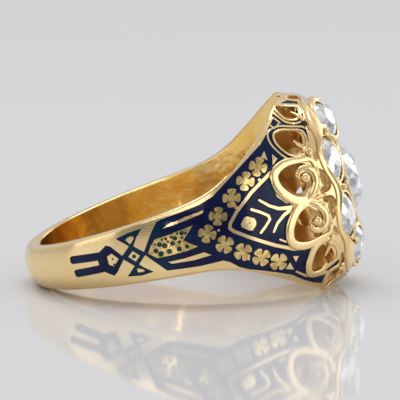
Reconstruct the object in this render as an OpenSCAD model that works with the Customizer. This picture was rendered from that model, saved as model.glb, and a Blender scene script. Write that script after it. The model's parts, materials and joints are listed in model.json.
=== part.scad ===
// Enamelled gold cluster ring with nine diamonds, lying on its side on shank and head.
// It is drawn round the finger axis, with the head along +X, and laid down at the end.

/* [Finger hole and shank] */
// Radius of the finger hole
bore_r = 8.25; // [7.5:0.05:9]
// Thickness of the shank at its crown
shank_thickness = 1.2; // [1:0.05:1.4]
// Distance from the finger axis at which the shoulders leave the shank's circle
shoulder_x = 5.2; // [4.8:0.1:5.6]

/* [Head] */
// Distance from the finger axis to the head rim, at its near and far sides
rim_side_x = 9.85; // [9.7:0.05:10]
// How much lower the rim is at its two ends along the finger
rim_end_drop = 0.3; // [0.2:0.05:0.4]
// How far the rim rises halfway along each side, between two stones
rim_peak = 0.4; // [0.2:0.05:0.45]
// Height of the stone plate's middle above the rim's sides
plate_rise = 0.8; // [0.7:0.05:0.85]
// Thickness of the stone plate at its middle
plate_thickness = 1.1; // [0.9:0.05:1.2]
// Thickness of the gallery wall
gallery_wall = 0.85; // [0.8:0.05:0.95]
// How far the scrolls of the gallery stand proud
relief = 0.16; // [0.1:0.02:0.2]

/* [Stones] */
// Diameter of the centre stone
centre_d = 4.3; // [4:0.1:4.5]
// Length of the two stones along each side of the head
side_length = 2.8; // [2.5:0.05:2.85]
// Length of the two stones at each end of the head
end_length = 2.5; // [2.3:0.05:2.55]
// Width of each surrounding stone
side_width = 2.15; // [2:0.05:2.2]

/* [Enamel] */
// Depth of the enamel recess
enamel_depth = 0.28; // [0.2:0.02:0.34]
// Gap between the enamel and the gold round it
enamel_gap = 0.03; // [0.02:0.01:0.05]
// Width of the gold line that edges the main panel
gold_line = 0.24; // [0.18:0.02:0.3]
// Radius of a quatrefoil, to the tip of a petal
clover_r = 0.5; // [0.4:0.02:0.54]

/* [Hidden] */
$fn = 48;

gold = "#d8a63c";
blue = "#101c66";
diamond = "#dfe6ec";

shank_r = bore_r + shank_thickness;
// Rows are [x along the head direction, half width of the band there]
HALF_WIDTH = [
    [-9.45, 1.25], [-6.6, 1.45], [-2.6, 1.75], [0, 1.96], [1.9, 2.2], [3, 2.5], [4.15, 3.05],
    [5.5, 4.0], [6.8, 5.0], [7.4, 5.5], [7.85, 5.85], [8.25, 6.03]
];
// Rows are [x along the head direction, half height of the crowned surface there]
CROWN = [
    [-9.45, 3.2], [-6, 4.6], [-1, 6.75], [6.6, 6.75], [7.4, 6.55], [7.85, 6.35],
    [8.25, 6.03], [9.2, 5.72], [9.6, 5.42], [10.3, 5.3]
];
// Roundness of the crowned section: 2 is an ellipse, more is squarer
crown_power = 2.4;
head_x = 8.25;
tail_steps = 9;
body_steps = 11;
rim_steps = 3;
steps = tail_steps + body_steps + rim_steps;
strips = 12;
far_out = 30;

function outline_y(x) =
    let (y0 = sqrt(shank_r * shank_r - shoulder_x * shoulder_x))
    x < shoulder_x ? sqrt(max(0, shank_r * shank_r - x * x)) : y0 - (x - shoulder_x) * shoulder_x / y0;
function half_width(x) = lookup(x, HALF_WIDTH);
function crown_half(x) = lookup(x, CROWN);
function head_half(x) = x < head_x ? half_width(x) : crown_half(x);
function crowned(u) = pow(max(0, 1 - pow(min(1, abs(u)), crown_power)), 1 / crown_power);
function unit(v) = v / max(norm(v), 0.000001);

// Stations along the band: first round the back, then along the shoulder, then over the gallery
function body_x(u) = u < 0.6 ? shank_r * sin(u / 0.6 * asin(shoulder_x / shank_r))
                             : shoulder_x + (head_x - shoulder_x) * (u - 0.6) / 0.4;
function rim_x(t) = rim_side_x - rim_end_drop * t * t + rim_peak * exp(-pow(t / 0.22, 2))
    + 0.4 * rim_peak * exp(-pow((abs(t) - 0.61) / 0.11, 2));
function tail_point(angle, t) =
    let (z = t * half_width(-shank_r * cos(angle)),
         r = shank_r * crowned(z / crown_half(-shank_r * cos(angle))))
    [-r * cos(angle), -r * sin(angle), z];
function side_point(x, half, t) = [x, -outline_y(x) * crowned(t * half / crown_half(x)), t * half];
function head_point(u, t) =
    let (x = head_x + (rim_x(t) - head_x) * u)
    side_point(x, crown_half(x), t);
function skin(i, t) =
    i <= tail_steps ? tail_point(90 * i / tail_steps, t)
    : i <= tail_steps + body_steps
        ? let (x = body_x((i - tail_steps) / body_steps)) side_point(x, half_width(x), t)
        : head_point((i - tail_steps - body_steps) / rim_steps, t);
function skin_t(j) = sin(90 * (2 * j / strips - 1));
function mirrored(p) = [p.x, -p.y, p.z];

// Faces between two rings of n points each; a is the first ring's first point, b is the second's
function band_faces(a, b, n) = [
    for (k = [0:n - 1]) let (m = (k + 1) % n)
        each [[a + k, a + m, b + m], [a + k, b + m, b + k]]
];

// The gold body before anything is cut from it: near sheet, far sheet, edges and stone plate
module blank() {
    row = strips + 1;
    near = [for (i = [0:steps], j = [0:strips]) skin(i, skin_t(j))];
    far = [for (p = near) mirrored(p)];
    far_start = len(near);
    rim = [for (j = [0:strips]) near[steps * row + j]];
    ring = concat(rim, [for (j = [strips - 1:-1:1]) mirrored(rim[j])]);
    plate_rings = [0.93, 0.85, 0.74, 0.5];
    plate_start = 2 * far_start;
    plate = [for (s = plate_rings) each plate_ring(ring, s)];
    apex = plate_start + len(plate);
    function at(side, i, j) = side * far_start + i * row + j;
    // The back's two half sheets share their first curve, so the far one starts on the near one's
    function join(side, i, j) = i == 0 ? at(0, i, j)
        : (i > tail_steps + body_steps - 1 && (j == 0 || j == strips)) ? at(0, i, j) : at(side, i, j);
    function rim_at(k) = k <= strips ? at(0, steps, k) : at(1, steps, 2 * strips - k);
    n = 2 * strips;
    faces = concat(
        [for (i = [0:steps - 1], j = [0:strips - 1])
            each [[join(0, i, j), join(0, i, j + 1), join(0, i + 1, j + 1)],
                  [join(0, i, j), join(0, i + 1, j + 1), join(0, i + 1, j)]]],
        [for (i = [0:steps - 1], j = [0:strips - 1])
            each [[join(1, i, j), join(1, i + 1, j + 1), join(1, i, j + 1)],
                  [join(1, i, j), join(1, i + 1, j), join(1, i + 1, j + 1)]]],
        [for (i = [0:steps - 1], top = [0, 1]) let (j = top * strips)
            each edge_faces(join(0, i, j), join(1, i, j), join(0, i + 1, j), join(1, i + 1, j), top == 1)],
        [for (k = [0:n - 1]) let (m = (k + 1) % n)
            each [[rim_at(k), rim_at(m), plate_start + m], [rim_at(k), plate_start + m, plate_start + k]]],
        [for (i = [0:len(plate_rings) - 2])
            each band_faces(plate_start + i * n, plate_start + (i + 1) * n, n)],
        [for (k = [0:n - 1]) [apex - n + k, apex - n + (k + 1) % n, apex]]
    );
    polyhedron(concat(near, far, plate, [[plate_x(0, 0), 0, 0]]),
               [for (f = faces) if (f[0] != f[1] && f[1] != f[2] && f[0] != f[2]) f], convexity = 10);
}

function edge_faces(a, b, c, d, upper) =
    upper ? [[a, b, d], [a, d, c]] : [[a, d, b], [a, c, d]];
function plate_ring(ring, s) = [for (p = ring) [plate_x(p.y * s, p.z * s), p.y * s, p.z * s]];

// Height of the stone plate over the head: a low dome with a steep edge
plate_power = 6;
function plate_x(y, z) =
    let (v = abs(z) / rim_end_half, w = abs(y) / rim_side_half,
         s = pow(pow(v, crown_power) + pow(w, crown_power), 1 / crown_power),
         t = s > 0 ? v / s : 0,
         edge = rim_x(t))
    edge + (rim_side_x + plate_rise - edge) * (1 - pow(min(1, s), plate_power));
rim_end_half = crown_half(rim_side_x - rim_end_drop);
rim_side_half = outline_y(rim_side_x);

// A closed stack of rings of equal point count; the rings turn clockwise seen from the last one
module ring_stack(points, n) {
    count = len(points) / n;
    polyhedron(points, concat(
        [for (i = [0:count - 2]) each band_faces(i * n, (i + 1) * n, n)],
        [[for (k = [n - 1:-1:0]) k]],
        [[for (k = [0:n - 1]) (count - 1) * n + k]]), convexity = 4);
}

// The hollow under the stone plate, open to the finger hole
module head_hollow() {
    sides = 24;
    // Rows are [x, share of the room inside the gallery wall]
    rows = [[6.9, 0.8], [7.8, 0.97], [8.6, 1], [9.3, 0.96], [plate_x(0, 0) - plate_thickness, 0.78]];
    ring_stack([for (r = rows, k = [0:sides - 1])
        let (a = -360 * k / sides,
             y = (outline_y(r[0]) - gallery_wall * 1.2) * r[1],
             z = (head_half(r[0]) - gallery_wall) * r[1])
        [r[0], y * cos(a), z * sin(a)]], sides);
}

// Scroll openings round the gallery. Rows are [y, z, x, size], for one quarter of the head
OPENINGS = [
    [6.0, 1.45, 7.95, 1], [5.25, 3.65, 8.19, 0.78], [3.4, 5.4, 8.42, 0.68], [1.2, 5.7, 8.92, 0.44]
];
// Outline of the largest opening, whose curl comes in from the rim. Rows are [along the wall, up it]
SCROLL = [
    [-1.14, -0.35], [-0.67, -0.93], [0.04, -1.13], [0.74, -0.78], [1.07, -0.2], [1.05, 0.6],
    [0.95, 1.0], [0.54, 1.1], [0.3, 0.9], [0.25, 0.55], [0, 0.12], [-0.45, 0.36],
    [-0.62, 0.74], [-0.95, 0.65], [-1.15, 0.17]
];
cut_in = 1.7;
cut_out = 1.5;
// The openings narrow inwards: this is their size at the inner end of the cut, as a share
cut_share = 0.5;
module scroll_cut(row, side_y, side_z) {
    turn = atan2(side_z * row[1] / 30, side_y * row[0] / 36);
    translate([row[2], side_y * row[0], side_z * row[1]])
        rotate([turn, 0, 0])
            translate([0, -cut_in, 0])
                rotate([-90, 0, 0])
                    linear_extrude(cut_in + cut_out, scale = 2 / cut_share - 1)
                        scale(row[3] * cut_share)
                            polygon([for (p = SCROLL) [p[1], -side_y * side_z * p[0]]]);
}
module scroll_openings() {
    for (row = OPENINGS, side_y = [-1, 1], side_z = [-1, 1])
        scroll_cut(row, side_y, side_z);
}

// Settings: each stone has a collet that reaches down into the hollow, and a seat through it
centre_x = 10.74;
centre_collet = 2.8;
centre_crown = 0.8;
centre_pavilion = 1.55;
side_collet = 1.8;
side_crown = 0.42;
side_pavilion = 0.95;
// Surrounding stones from the top of the head to its lower end, the same on both sides.
// Rows are [x, y, z, length, turn of the lean towards the ends, lean]
STONES = [
    [10.44, 1.3, 3.92, end_length, 50, 27], [10.16, 3.1, 1.75, side_length, 23, 27],
    [10.18, 3.1, -1.75, side_length, 23, 25], [10.3, 1.3, -3.92, end_length, 50, 25]
];
// The eight run round the cluster, from the far side's upper middle
function stone_row(i) = STONES[[1, 0, 0, 1, 2, 3, 3, 2][i]];
function stone_side(i) = i < 2 || i > 5 ? 1 : -1;
module at_side(i) {
    r = stone_row(i);
    translate([r[0], stone_side(i) * r[1], r[2]])
        rotate([atan2(sin(r[4]) * sign(r[2]), cos(r[4]) * stone_side(i)), 0, 0])
            rotate([0, 0, r[5]])
                rotate([0, 90, 0])
                    children();
}
module at_centre() {
    translate([centre_x, 0, 0])
        rotate([0, 90, 0])
            children();
}
// A stack of ovals about Z; rows are [height, half size along X, half size along Y]
module oval_stack(rows, sides = 16) {
    ring_stack([for (r = rows, k = [0:sides - 1]) let (a = -360 * (k + 0.5) / sides)
        [r[1] * cos(a), r[2] * sin(a), r[0]]], sides);
}
module collet(l, w, depth) {
    oval_stack([[-depth, l / 2 - 0.25, w / 2 - 0.25], [-0.7, l / 2 + 0.2, w / 2 + 0.2],
                [-0.1, l / 2 + 0.3, w / 2 + 0.3], [0.1, l / 2 + 0.12, w / 2 + 0.12]]);
}
module seat(l, w, depth) {
    g = 0.04;
    oval_stack([[-depth - 0.5, l * 0.2, w * 0.2], [-depth * 0.5, l * 0.24, w * 0.24],
                [-0.06, l / 2 + g, w / 2 + g], [1, l / 2 + g, w / 2 + g]]);
}
// Room cut down into the plate round a stone, so that the rim dips beside it and rises between two
module clearing(l, w) {
    oval_stack([[-0.1, l / 2 + 0.3, w / 2 + 0.3], [2, l / 2 + 0.6, w / 2 + 0.6]]);
}
// Old cut stone about Z, with its girdle at z = 0
module gem(l, w, crown, pavilion) {
    girdle = 0.06;
    function ring(n, turn, share, z) = [for (k = [0:n - 1]) let (a = 360 * k / n + turn)
        [l / 2 * share * cos(a), w / 2 * share * sin(a), z]];
    points = concat(ring(8, 0, 0.5, crown), ring(8, 22.5, 0.76, crown * 0.6),
                    ring(16, 0, 1, girdle / 2), ring(16, 0, 1, -girdle / 2),
                    ring(8, 22.5, 0.5, -pavilion * 0.53), [[0, 0, -pavilion]]);
    table = 0;
    star = 8;
    top = 16;
    low = 32;
    main = 48;
    culet = 56;
    faces = concat(
        [[for (k = [0:7]) table + k]],
        [for (k = [0:7]) let (n = (k + 1) % 8, g = 2 * k, h = (2 * k + 2) % 16)
            each [[table + k, star + k, table + n],
                  [table + k, top + g, star + k], [table + n, star + k, top + h],
                  [star + k, top + g, top + g + 1], [star + k, top + g + 1, top + h],
                  [main + k, low + g + 1, low + g], [main + k, low + h, low + g + 1],
                  [main + k, low + g, culet], [main + k, culet, low + h]]],
        [for (k = [0:15]) let (n = (k + 1) % 16)
            each [[top + k, low + k, low + n], [top + k, low + n, top + n]]]
    );
    polyhedron(points, [for (f = faces) [for (k = [len(f) - 1:-1:0]) f[k]]], convexity = 4);
}
module grains() {
    for (i = [0:7]) {
        y = 4.05 * cos(45 * i);
        z = 4.95 * sin(45 * i);
        translate([plate_x(y, z) + 0.03, y, z]) sphere(r = 0.24, $fn = 16);
        translate([plate_x(y * 0.62, z * 0.54) + 0.06, y * 0.62, z * 0.54]) sphere(r = 0.2, $fn = 16);
    }
}

// A thick sheet that follows the near outer surface, from depth a under it to depth b
first_station = 4;
function skin_normal(i, t) =
    let (e = 0.02, p = skin(i, t),
         along = skin(min(steps, i + e), t) - skin(max(0, i - e), t),
         across = skin(i, min(0.98, t + e)) - skin(i, max(-0.98, t - e)))
    -unit(cross(along, across));
function sunk(i, t, depth) = skin(i, t) + skin_normal(i, t) * depth;
module sheet(a, b) {
    last = steps;
    row = strips + 1;
    count = last - first_station + 1;
    function layer(d) = [for (i = [first_station:last], j = [0:strips])
        sunk(i, skin_t(j) * (i > tail_steps + body_steps - 1 ? 0.97 : 1), d)];
    points = concat(layer(a), layer(b));
    low = count * row;
    function id(l, i, j) = l * low + i * row + j;
    quads = concat(
        [for (i = [0:count - 2], j = [0:strips - 1])
            [id(0, i, j), id(0, i, j + 1), id(0, i + 1, j + 1), id(0, i + 1, j)]],
        [for (i = [0:count - 2], j = [0:strips - 1])
            [id(1, i, j), id(1, i + 1, j), id(1, i + 1, j + 1), id(1, i, j + 1)]],
        [for (i = [0:count - 2])
            [id(0, i, 0), id(0, i + 1, 0), id(1, i + 1, 0), id(1, i, 0)]],
        [for (i = [0:count - 2])
            [id(0, i, strips), id(1, i, strips), id(1, i + 1, strips), id(0, i + 1, strips)]],
        [for (j = [0:strips - 1])
            [id(0, 0, j), id(1, 0, j), id(1, 0, j + 1), id(0, 0, j + 1)]],
        [for (j = [0:strips - 1])
            [id(0, count - 1, j), id(0, count - 1, j + 1), id(1, count - 1, j + 1), id(1, count - 1, j)]]
    );
    polyhedron(points, [for (q = quads) each [[q[0], q[1], q[2]], [q[0], q[2], q[3]]]], convexity = 8);
}

// Enamel pattern, drawn as seen from the side: [x along the head direction, z along the finger]
// Upper halves only; each is repeated below, because the two halves match
BAR = [[-6.25, 0.22], [-4.5, 0.18], [-4.5, 0.66], [-6.25, 0.7]];
HEXAGON = [[-4.35, 0], [-3.95, 0.93], [-3.55, 0.93], [-3.15, 0], [-3.55, -0.93], [-3.95, -0.93]];
TRIANGLE = [[-3.1, 1.16], [-1.5, 1.42], [-2.35, 0.45]];
FLANK = [[-2.1, 0.35], [-0.6, 1.55], [1.1, 1.75], [1.95, 1.45], [1.45, 1.0], [-0.55, 0.8], [-1.6, 0.1]];
PANEL_EDGE = [[1.35, 0], [2.6, 1.75], [3.9, 2.55], [5.3, 3.45], [6.5, 4.35], [7.2, 4.95], [7.45, 5.15],
              [7.5, 4.75], [7.9, 4.5], [7.1, 4.1], [6.95, 3.6], [7.15, 3.0], [7.5, 2.8], [6.75, 2.45],
              [6.4, 1.9], [6.35, 1.3], [6.6, 0.65], [7.3, 0.2], [7.4, 0]];
CLOVERS = [[2.1, 0], [2.96, 0.86], [3.93, 1.65], [4.93, 2.3], [5.82, 2.86]];
GOLD_V = [[3.27, 0], [4.47, 0.95], [6.03, 2.16], [7.0, 2.7]];

module both_halves() {
    children();
    mirror([0, 1]) children();
}
module clover() {
    polygon([for (k = [0:15]) let (a = 22.5 * k, r = clover_r * (0.66 + 0.34 * cos(4 * a)))
        [r * cos(a), r * sin(a)]]);
}
module gold_stroke(path, width) {
    for (k = [0:len(path) - 2]) {
        d = path[k + 1] - path[k];
        translate(path[k])
            rotate(atan2(d.y, d.x))
                translate([-width / 4, -width / 2])
                    square([norm(d) + width / 2, width]);
    }
}
module enamel_chart() {
    both_halves() polygon(BAR);
    difference() {
        polygon(HEXAGON);
        translate([-3.75, 0]) scale([0.5, 0.6]) translate([3.75, 0]) polygon(HEXAGON);
    }
    both_halves() polygon(TRIANGLE);
    both_halves() polygon(FLANK);
    difference() {
        both_halves() polygon(PANEL_EDGE);
        both_halves() gold_stroke(GOLD_V, gold_line);
        both_halves() for (p = CLOVERS) translate(p) clover();
    }
}
module side_prism() {
    rotate([90, 0, 0])
        linear_extrude(far_out, convexity = 8)
            children();
}
// Scrolls and palmette of the gallery, raised on its wall; upper halves again
SCROLL_EDGE = [[6.62, 1.5], [6.78, 2.1], [7.3, 2.6], [7.9, 2.78], [8.7, 2.74], [9.15, 2.4], [9.2, 1.5],
               [8.9, 0.55], [8.2, 0.02], [7.4, 0.12], [6.85, 0.6]];
UPPER_SCROLL_EDGE = [[7.12, 3.3], [7.1, 3.95], [7.5, 4.5], [8.3, 4.62], [9.05, 4.4], [9.22, 3.6], [8.9, 2.85],
                     [8.3, 2.58], [7.55, 2.68]];
LOBES = [[0, 1.1], [30, 1.0], [58, 0.8]];
module scroll_chart() {
    both_halves() polygon(SCROLL_EDGE);
    both_halves() polygon(UPPER_SCROLL_EDGE);
    both_halves() for (lobe = LOBES)
        translate([8.3, 0]) rotate(lobe[0])
            polygon([[0, -0.08], [lobe[1] * 0.7, -0.17], [lobe[1], 0], [lobe[1] * 0.7, 0.17], [0, 0.08]]);
}
module near_relief() {
    intersection() {
        sheet(-relief, 0.3);
        side_prism() scroll_chart();
    }
}
module near_enamel_solid() {
    intersection() {
        sheet(0.03, enamel_depth);
        side_prism() enamel_chart();
    }
}
module near_recess() {
    intersection() {
        sheet(-0.6, enamel_depth + enamel_gap);
        side_prism() offset(delta = enamel_gap) enamel_chart();
    }
}

// Resting pose: the line under the shank's back edge and the head's end edge is level
shank_contact = [-shank_r * crowned(half_width(-shank_r) / crown_half(-shank_r)), -half_width(-shank_r)];
head_contact = [head_x, -half_width(head_x)];
lie_angle = atan2(shank_contact.y - head_contact.y, head_contact.x - shank_contact.x);
lift = -(head_contact.x * sin(lie_angle) + head_contact.y * cos(lie_angle));
// Reach of the lowest stone's table to the right, and of the shank's back to the left, once laid down
low_stone = STONES[3];
table_x = low_stone[3] / 4 * cos(45);
table_y = side_width / 4 * cos(45);
table_out = side_crown * sin(low_stone[5]) - table_y * cos(low_stone[5]);
reach_x = low_stone[0] + side_crown * cos(low_stone[5]) + table_y * sin(low_stone[5]);
reach_z = low_stone[2] - sin(low_stone[4]) * table_out - cos(low_stone[4]) * table_x;
right_reach = reach_x * cos(lie_angle) - reach_z * sin(lie_angle);
left_reach = shank_r * cos(lie_angle) + 0.09;
middle_x = (right_reach - left_reach) / 2;
module laid_down() {
    translate([-middle_x, 0, lift])
        rotate([0, -lie_angle, 0])
            children();
}

module gold_body() {
    color(gold) laid_down() difference() {
        union() {
            difference() {
                blank();
                head_hollow();
                for (i = [0:7]) at_side(i) clearing(stone_row(i)[3], side_width);
            }
            near_relief();
            mirror([0, 1, 0]) near_relief();
            at_centre() collet(centre_d, centre_d, centre_collet);
            for (i = [0:7]) at_side(i) collet(stone_row(i)[3], side_width, side_collet);
            grains();
        }
        cylinder(h = far_out, r = bore_r, center = true);
        scroll_openings();
        at_centre() seat(centre_d, centre_d, centre_collet);
        for (i = [0:7]) at_side(i) seat(stone_row(i)[3], side_width, side_collet);
        near_recess();
        mirror([0, 1, 0]) near_recess();
    }
}
module enamel_near() {
    color(blue) laid_down() near_enamel_solid();
}
module enamel_far() {
    color(blue) laid_down() mirror([0, 1, 0]) near_enamel_solid();
}
module centre_stone() {
    color(diamond) laid_down() at_centre() gem(centre_d, centre_d, centre_crown, centre_pavilion);
}
module side_stone(i) {
    color(diamond) laid_down() at_side(i) gem(stone_row(i)[3], side_width, side_crown, side_pavilion);
}

gold_body();
enamel_near();
enamel_far();
centre_stone();
for (i = [1:8])
    side_stone(i - 1);
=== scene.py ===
import json
import math

import bmesh
import bpy
import numpy as np
from mathutils import Matrix, Vector
from mathutils.geometry import delaunay_2d_cdt


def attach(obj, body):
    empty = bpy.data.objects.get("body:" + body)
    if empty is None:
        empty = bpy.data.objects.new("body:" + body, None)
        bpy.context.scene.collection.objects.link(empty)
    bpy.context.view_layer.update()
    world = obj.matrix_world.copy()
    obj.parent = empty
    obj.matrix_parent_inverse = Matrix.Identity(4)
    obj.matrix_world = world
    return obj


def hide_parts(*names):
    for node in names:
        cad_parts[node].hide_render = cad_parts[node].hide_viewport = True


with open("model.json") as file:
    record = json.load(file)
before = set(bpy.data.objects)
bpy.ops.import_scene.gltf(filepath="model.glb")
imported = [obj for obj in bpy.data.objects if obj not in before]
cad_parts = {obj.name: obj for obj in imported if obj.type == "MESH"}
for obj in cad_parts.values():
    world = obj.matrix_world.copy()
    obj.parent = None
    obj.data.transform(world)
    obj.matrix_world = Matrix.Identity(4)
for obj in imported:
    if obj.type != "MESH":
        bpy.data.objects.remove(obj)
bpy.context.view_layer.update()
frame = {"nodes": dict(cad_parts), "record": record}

# The ring's own frame, in millimetres: the finger axis is z, the head is along +x, the near side is -y.
# The finger hole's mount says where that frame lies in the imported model.
# A chart place is a pair [x, z]: a point of the near side as it is seen straight from that side.
hole = frame["record"]["mounts"][0]
AXIS = Vector(hole["axis"])
LIE = math.atan2(-AXIS.x, AXIS.z)
MM = 0.001
PLACE = (Matrix.Translation(Vector(hole["pos_m"])) @ Matrix.Rotation(-LIE, 4, "Y")
         @ Matrix.Diagonal((MM, MM, MM, 1)))
MIRROR = Matrix.Diagonal((1, -1, 1, 1))

BORE_R = hole["dims"]["r_mm"]
SHANK_R = BORE_R + 1.2
# Places along x: where the round shank goes over into straight shoulders, the gallery's foot, and its rim
SHOULDER_X = 5.2
HEAD_X = 8.25
RIM_SIDE_X = 9.85
# The rim falls this much towards the head's ends, and has peaks of this height
RIM_END_DROP = 0.3
RIM_PEAK = 0.4
# The domed plate that holds the stones, and the gallery's wall round the hollow under it
PLATE_RISE = 0.8
PLATE_POWER = 6
PLATE_THICKNESS = 1.1
GALLERY_WALL = 0.85
# How square the ring's rounded section is: 2 would be an ellipse
CROWN_POWER = 2.4
# The rounding of the band's edges, and what wear adds at the hole's upper mouth, in width and in depth
EDGE_ROUND = 0.13
MOUTH_WIDE = 0.57
MOUTH_DEEP = 0.3
# The mouth's cut starts this much above the band's edge, so that the two surfaces cross cleanly
MOUTH_OVERLAP = 0.006
ENAMEL_DEPTH = 0.3
# How far the finger hole's cutter and the enamel's prism reach, which is well past the ring
CUTTER_REACH = 20
PRISM_REACH = 30


# Shapes shared with the CAD model

def smooth_table(rows):
    """A smooth curve through a short table of [x, y] rows, with no overshoot between them."""
    xs, ys = np.array(rows, float).T
    step = np.diff(xs)
    rise = np.diff(ys) / step
    product, total = rise[1:] * rise[:-1], rise[1:] + rise[:-1]
    inner = np.where(product > 0, 2 * product / np.where(total == 0, 1, total), 0)
    slope = np.concatenate([rise[:1], inner, rise[-1:]])

    def curve(x):
        x = np.clip(x, xs[0], xs[-1])
        k = np.clip(np.searchsorted(xs, x) - 1, 0, len(step) - 1)
        t = (x - xs[k]) / step[k]
        return (ys[k] * (1 + 2 * t) * (1 - t) ** 2 + step[k] * slope[k] * t * (1 - t) ** 2
                + ys[k + 1] * t * t * (3 - 2 * t) + step[k] * slope[k + 1] * t * t * (t - 1))
    return curve


# Half widths along the finger at each x: of the band itself, and of the rounded section that it is part of
half_width = smooth_table([
    [-9.45, 1.25], [-6.6, 1.45], [-2.6, 1.75], [0, 1.96], [1.9, 2.2], [3, 2.5], [4.15, 3.05],
    [5.5, 4.0], [6.8, 5.0], [7.4, 5.5], [7.85, 5.85], [8.25, 6.03]])
crown_half = smooth_table([
    [-9.45, 3.2], [-6, 4.6], [-1, 6.75], [6.6, 6.75], [7.4, 6.55], [7.85, 6.35],
    [8.25, 6.03], [9.2, 5.72], [9.6, 5.42], [10.3, 5.3]])


def outline_y(x):
    """Half width of the ring across the finger: the shank's circle, then its tangent line."""
    y0 = math.sqrt(SHANK_R ** 2 - SHOULDER_X ** 2)
    return np.where(x < SHOULDER_X, np.sqrt(np.maximum(0, SHANK_R ** 2 - x * x)),
                    y0 - (x - SHOULDER_X) * SHOULDER_X / y0)


def crowned(u):
    """How far the rounded section stands out at a share u of its half width."""
    return (1 - np.minimum(1, np.abs(u)) ** CROWN_POWER) ** (1 / CROWN_POWER)


def rim_x(t):
    """Height of the gallery's rim, from -1 at the head's lower end to 1 at its upper end."""
    return (RIM_SIDE_X - RIM_END_DROP * t * t + RIM_PEAK * np.exp(-(t / 0.22) ** 2)
            + 0.4 * RIM_PEAK * np.exp(-((np.abs(t) - 0.61) / 0.11) ** 2))


def round_off(from_edge, radius):
    """How far a rounded edge falls back, at a distance from the edge."""
    inside = np.clip(radius - from_edge, 0, radius)
    return radius - np.sqrt(np.maximum(0, radius ** 2 - inside ** 2))


def skin(s, t, rounding=EDGE_ROUND):
    """Near outer surface: s is 0 at the back, 1 at the side, 2 at the head, 3 at the rim; t crosses it."""
    angle = np.radians(90 * np.clip(s, 0, 1))
    x = HEAD_X * np.clip(s - 1, 0, 1)
    x = x + np.clip(s - 2, 0, 1) * (rim_x(t) - HEAD_X)
    along = np.where(s < 1, -SHANK_R * np.cos(angle), x)
    half = np.where(s < 2, half_width(along), crown_half(along))
    z = t * half
    face = outline_y(along) * crowned(half / crown_half(along))
    radius = np.where(s < 2, np.minimum(rounding, 0.3 * np.where(s < 1, SHANK_R, face)), 0)
    inset = round_off(half * (1 - np.abs(t)), radius + 1e-9)
    r = SHANK_R * crowned(z / crown_half(along)) - inset
    y = outline_y(along) * crowned(z / crown_half(along)) - inset
    return np.stack([np.where(s < 1, -r * np.cos(angle), along),
                     -np.where(s < 1, r * np.sin(angle), np.maximum(0, y)), z], -1)


def plate_x(y, z):
    """Height of the stone plate: a low dome with a steep edge."""
    v = np.abs(z) / crown_half(RIM_SIDE_X - RIM_END_DROP)
    w = np.abs(y) / outline_y(RIM_SIDE_X)
    s = (v ** CROWN_POWER + w ** CROWN_POWER) ** (1 / CROWN_POWER)
    t = v / np.maximum(s, 1e-9)
    edge = rim_x(t)
    return edge + (RIM_SIDE_X + PLATE_RISE - edge) * (1 - np.minimum(1, s) ** PLATE_POWER)


def wall_point(x, z, lift=0.0):
    """A point on the near outer surface at chart place (x, z), raised by lift along its normal."""
    def place(a, b):
        return np.array([a, -outline_y(a) * crowned(b / crown_half(a)), b])
    step = 0.01
    along = place(x + step, z) - place(x - step, z)
    normal = np.cross(along, place(x, z + step) - place(x, z - step))
    return place(x, z) + normal / np.linalg.norm(normal) * lift


# Mesh helpers, all in the ring's own millimetres

def new_mesh(name, points, faces, merge=0.0):
    """A mesh; with merge, points closer than that become one and the faces are turned outwards."""
    mesh = bpy.data.meshes.new(name)
    mesh.from_pydata([tuple(p) for p in points], [], [tuple(int(k) for k in f) for f in faces])
    if merge:
        bm = bmesh.new()
        bm.from_mesh(mesh)
        bmesh.ops.remove_doubles(bm, verts=bm.verts, dist=merge)
        bmesh.ops.dissolve_degenerate(bm, edges=bm.edges, dist=merge)
        bmesh.ops.recalc_face_normals(bm, faces=bm.faces)
        bm.to_mesh(mesh)
        bm.free()
    mesh.validate()
    return mesh


def grid_faces(rows, columns, start=0, around=False, flip=False):
    """Faces of a grid of points, rows by columns, whose columns may close on themselves."""
    faces = []
    for i in range(rows - 1):
        for j in range(columns if around else columns - 1):
            k = (j + 1) % columns
            quad = [start + i * columns + j, start + i * columns + k,
                    start + (i + 1) * columns + k, start + (i + 1) * columns + j]
            faces.append(quad[::-1] if flip else quad)
    return faces


def strip_faces(rows, columns, with_ends=False):
    """Faces that close the gap between two grids along their sides, and along their ends too if asked."""
    steps = [(i * columns + j, (i + 1) * columns + j) for j in (0, columns - 1) for i in range(rows - 1)]
    if with_ends:
        steps += [(i * columns + j, i * columns + j + 1) for i in (0, rows - 1) for j in range(columns - 1)]
    count = rows * columns
    return [[a, b, count + b, count + a] for a, b in steps]


def stack_mesh(name, rings):
    """A closed solid from rings of equal point count, capped at both ends."""
    rings = np.asarray(rings, float)
    rows, columns = rings.shape[:2]
    faces = grid_faces(rows, columns, around=True)
    faces += [list(range(columns))[::-1], [(rows - 1) * columns + k for k in range(columns)]]
    return new_mesh(name, rings.reshape(-1, 3), faces, merge=1e-5)


def joined(name, meshes):
    """One mesh holding several."""
    points, faces, start = [], [], 0
    for mesh in meshes:
        points += [v.co.copy() for v in mesh.vertices]
        faces += [[k + start for k in p.vertices] for p in mesh.polygons]
        start = len(points)
    return new_mesh(name, points, faces)


def moved(mesh, matrix):
    """A copy of the mesh at another place, with its faces still turned outwards."""
    copy = mesh.copy()
    copy.transform(matrix)
    if matrix.determinant() < 0:
        copy.flip_normals()
    return copy


def both_sides(mesh):
    """The near part, and its mirror image on the far side."""
    return [mesh, moved(mesh, MIRROR)]


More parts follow.
